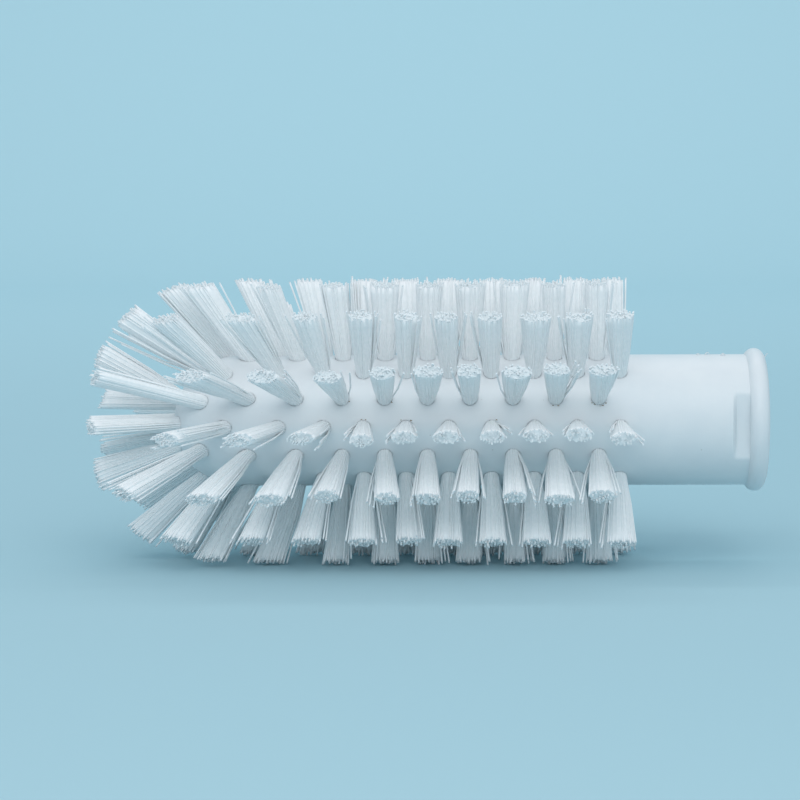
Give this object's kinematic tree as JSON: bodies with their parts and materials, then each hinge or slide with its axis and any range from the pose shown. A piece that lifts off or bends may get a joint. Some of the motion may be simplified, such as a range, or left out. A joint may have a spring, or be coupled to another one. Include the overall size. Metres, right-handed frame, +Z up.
{
  "type": "valve brush",
  "caption": "Bullet-nosed brush head for valves and pipes: a white plastic core set all over with filament tufts, with a plain neck, spanner flats, a beaded end and a socket for a handle.",
  "frame": {"origin": "middle of the socket's mouth, on the brush's axis, in the plane of the end face", "axes": "+X along the brush's axis and out of the socket, +Z up as the brush lies on two rows of tufts, one spanner flat facing -Y"},
  "size_m": [0.2138, 0.09, 0.0886],
  "materials": {
    "core": "satin",
    "filament": "satin",
    "anchor": "satin"
  },
  "bodies": {
    "root": {"brush_core": "core", "tuft_ring_01": "filament", "tuft_ring_02": "filament", "tuft_ring_03": "filament", "tuft_ring_04": "filament", "tuft_ring_05": "filament", "tuft_ring_06": "filament", "tuft_ring_07": "filament", "tuft_ring_08": "filament", "tuft_ring_09": "filament", "tuft_ring_10": "filament", "tuft_ring_11": "filament", "tuft_ring_12": "filament", "tuft_ring_13": "filament", "tuft_ring_14": "filament", "tuft_ring_15": "filament", "tuft_ring_16": "filament", "tuft_ring_17": "filament", "tuft_ring_18": "filament", "tuft_ring_19": "filament", "tuft_ring_20": "filament", "nose_tufts": "filament", "tuft_anchors": "anchor"}
  },
  "joints": []
}
